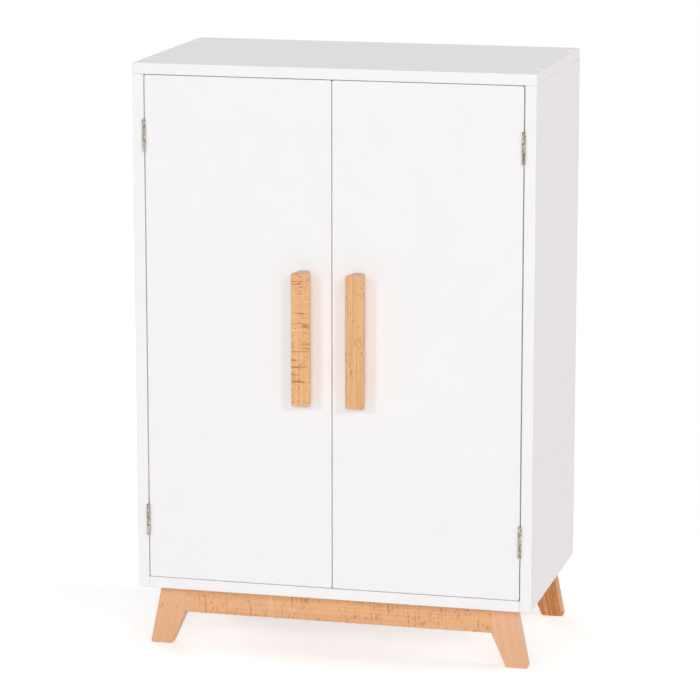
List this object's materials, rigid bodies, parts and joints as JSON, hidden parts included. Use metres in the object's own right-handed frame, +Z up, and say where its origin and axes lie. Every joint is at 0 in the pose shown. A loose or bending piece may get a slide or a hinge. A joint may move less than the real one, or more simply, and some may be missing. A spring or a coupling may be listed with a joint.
{
  "type": "two-door storage cabinet",
  "caption": "Doll-size wardrobe cabinet with inset hinged doors, bar handles, an inner shelf, a clothes rail and splayed wooden legs.",
  "frame": {"origin": "on the floor, in the middle of the whole footprint, handles included", "axes": "+Z up, +X to the right seen from the front, +Y from the doors to the back"},
  "size_m": [0.364, 0.226, 0.5375],
  "materials": {
    "white_lacquer": "satin white lacquer on fibreboard",
    "hardboard": "white-faced hardboard",
    "beech": "sanded beech with a clear matt lacquer",
    "hinge_steel": "pressed steel, yellow passivated",
    "zinc_steel": "bright zinc plated",
    "white_plastic": "moulded, satin",
    "ferrite": "ground sintered magnet"
  },
  "bodies": {
    "cabinet": {"top_panel": "white_lacquer", "bottom_panel": "white_lacquer", "left_side_panel": "white_lacquer", "right_side_panel": "white_lacquer", "back_panel": "hardboard", "shelf": "white_lacquer", "clothes_rail": "beech", "left_rail_socket": "white_plastic", "left_catch_magnet": "ferrite", "front_left_shelf_pin": "zinc_steel", "front_left_top_screw": "zinc_steel", "front_left_screw_cap": "white_plastic", "front_left_leg": "beech", "front_left_leg_dowel": "beech", "front_left_base_screw": "zinc_steel", "rear_left_shelf_pin": "zinc_steel", "rear_left_top_screw": "zinc_steel", "rear_left_screw_cap": "white_plastic", "rear_left_leg": "beech", "rear_left_leg_dowel": "beech", "rear_left_base_screw": "zinc_steel", "left_lower_hinge_frame_leaf": "hinge_steel", "left_lower_hinge_pin": "hinge_steel", "left_upper_hinge_frame_leaf": "hinge_steel", "left_upper_hinge_pin": "hinge_steel", "right_rail_socket": "white_plastic", "right_catch_magnet": "ferrite", "front_right_shelf_pin": "zinc_steel", "front_right_top_screw": "zinc_steel", "front_right_screw_cap": "white_plastic", "front_right_leg": "beech", "front_right_leg_dowel": "beech", "front_right_base_screw": "zinc_steel", "rear_right_shelf_pin": "zinc_steel", "rear_right_top_screw": "zinc_steel", "rear_right_screw_cap": "white_plastic", "rear_right_leg": "beech", "rear_right_leg_dowel": "beech", "rear_right_base_screw": "zinc_steel", "right_lower_hinge_frame_leaf": "hinge_steel", "right_lower_hinge_pin": "hinge_steel", "right_upper_hinge_frame_leaf": "hinge_steel", "right_upper_hinge_pin": "hinge_steel", "front_apron": "beech", "rear_apron": "beech", "catch_body": "white_plastic"},
    "left_door": {"left_door_panel": "white_lacquer", "left_handle": "beech", "left_strike_plate": "zinc_steel", "left_lower_handle_screw": "zinc_steel", "left_lower_hinge_door_leaf": "hinge_steel", "left_upper_handle_screw": "zinc_steel", "left_upper_hinge_door_leaf": "hinge_steel"},
    "right_door": {"right_door_panel": "white_lacquer", "right_handle": "beech", "right_strike_plate": "zinc_steel", "right_lower_handle_screw": "zinc_steel", "right_lower_hinge_door_leaf": "hinge_steel", "right_upper_handle_screw": "zinc_steel", "right_upper_hinge_door_leaf": "hinge_steel"}
  },
  "joints": [
    {"name": "left_door_hinge", "type": "hinge", "parent": "cabinet", "child": "left_door", "pos_m": [-0.1715, -0.09865, 0.2971], "axis": [0, 0, -1], "range_deg": [0, 180]},
    {"name": "right_door_hinge", "type": "hinge", "parent": "cabinet", "child": "right_door", "pos_m": [0.1715, -0.09865, 0.2971], "axis": [0, 0, 1], "range_deg": [0, 180]}
  ]
}
